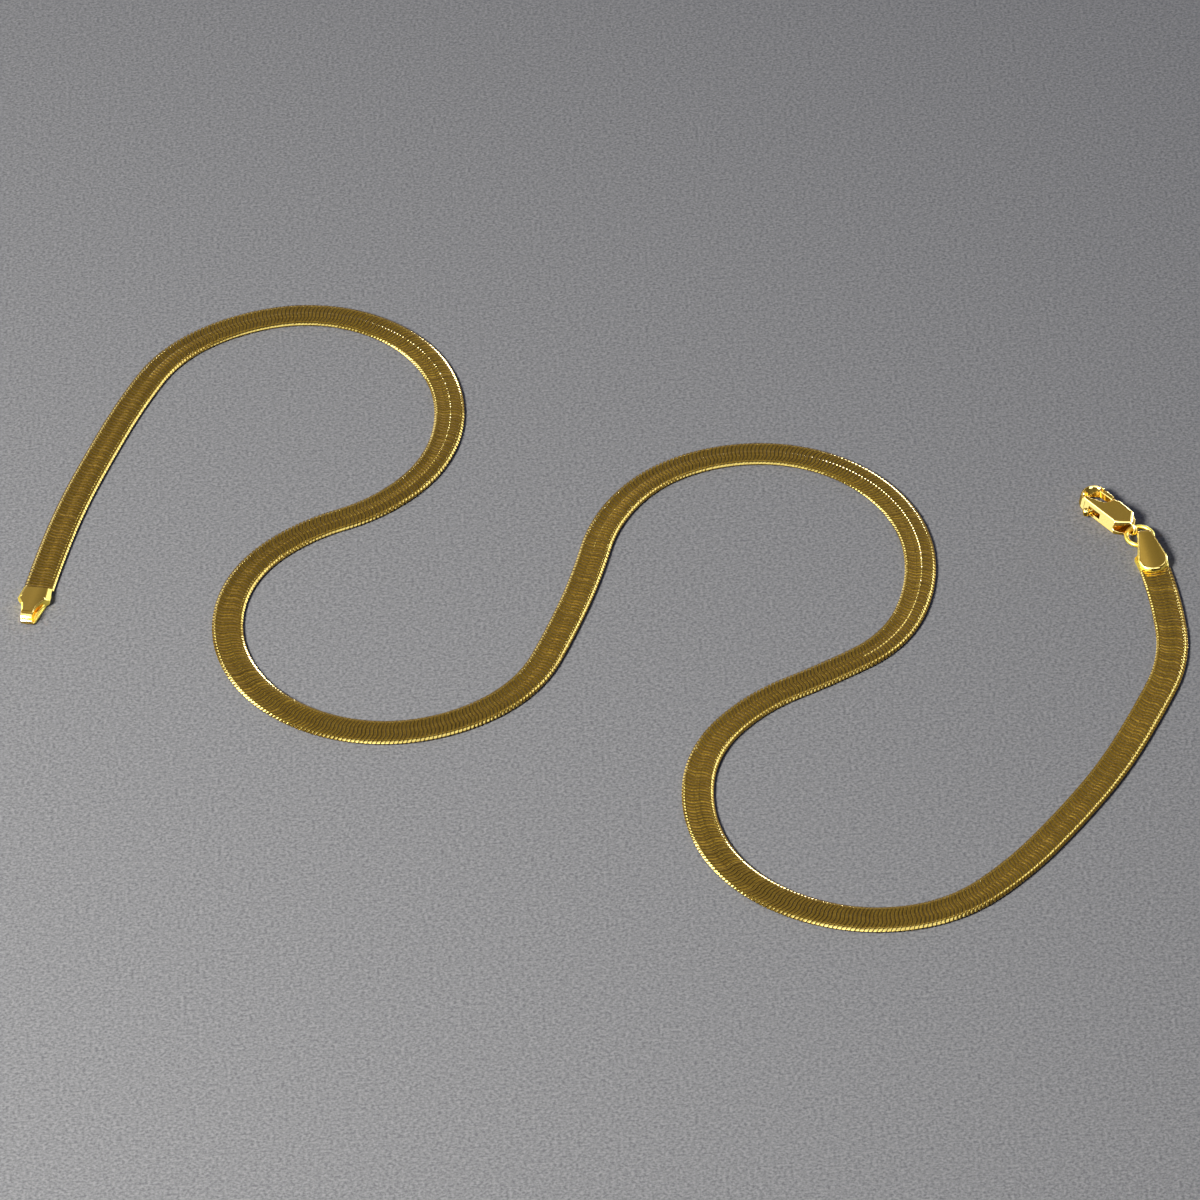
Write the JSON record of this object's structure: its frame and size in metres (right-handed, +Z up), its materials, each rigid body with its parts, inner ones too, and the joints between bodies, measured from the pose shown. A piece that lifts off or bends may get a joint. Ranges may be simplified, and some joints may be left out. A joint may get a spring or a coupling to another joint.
{
  "type": "herringbone neck chain",
  "caption": "Flat herringbone neck chain lying open in a serpentine, with a trigger clasp on a jump ring and folded-strap end caps.",
  "frame": {"origin": "on the surface that the chain lies on, under the middle of the whole outline", "axes": "+Z up from the surface; +X from the loop end towards the clasp end; +Y away from the viewer of the picture"},
  "size_m": [0.1456, 0.1168, 0.0021],
  "materials": {
    "woven_gold": "bright cut, satin face",
    "polished_gold": "polished"
  },
  "bodies": {
    "necklace": {"chain_band": "woven_gold", "loop_end_cap": "polished_gold", "clasp_end_cap": "polished_gold", "jump_ring": "polished_gold", "clasp_body": "polished_gold", "lever_pin": "polished_gold"},
    "trigger": {"clasp_lever": "polished_gold"}
  },
  "joints": [
    {"name": "lever_hinge", "type": "hinge", "parent": "necklace", "child": "trigger", "pos_m": [0.06629, 0.00972, 0.00105], "axis": [0, 0, 1], "range_deg": [0, 16], "stiffness_Nm_per_rad": 0.00002, "springref_deg": -11.46}
  ]
}
